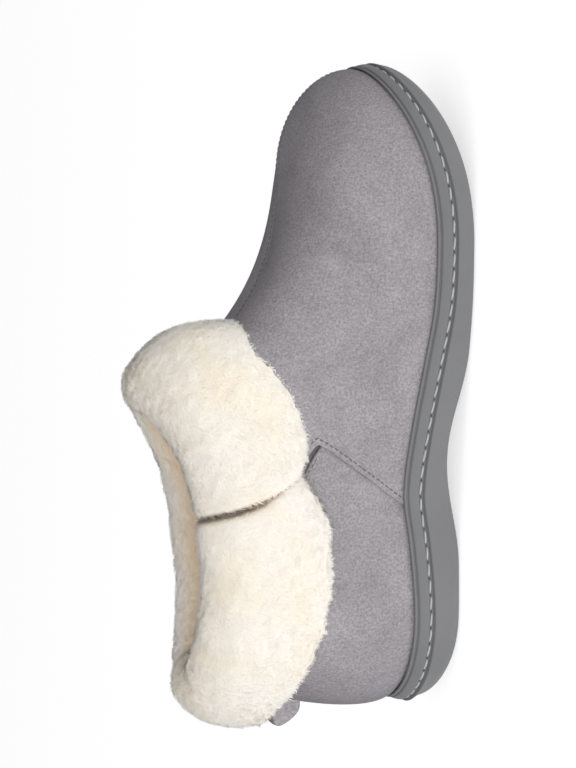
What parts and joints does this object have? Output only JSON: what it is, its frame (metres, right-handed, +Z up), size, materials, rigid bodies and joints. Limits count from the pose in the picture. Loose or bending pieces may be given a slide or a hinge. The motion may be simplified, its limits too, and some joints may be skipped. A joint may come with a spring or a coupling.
{
  "type": "bootie slipper",
  "caption": "Ankle-height slipper with a smooth suede upper, a turned-down shearling cuff slit on the outer side and a moulded cup sole.",
  "frame": {"origin": "middle of the bounding box on the floor", "axes": "+Z up, +Y from heel to toe, +X to the outer (lateral) side of the right foot"},
  "size_m": [0.1098, 0.2862, 0.1372],
  "materials": {
    "sole_rubber": "matte moulded",
    "footbed_cloth": "smooth brushed",
    "suede": "short even nap",
    "shearling": "dense short fleece"
  },
  "bodies": {
    "root": {"outsole": "sole_rubber", "insole": "footbed_cloth", "upper": "suede", "cuff": "shearling", "pull_loop": "suede"}
  },
  "joints": []
}
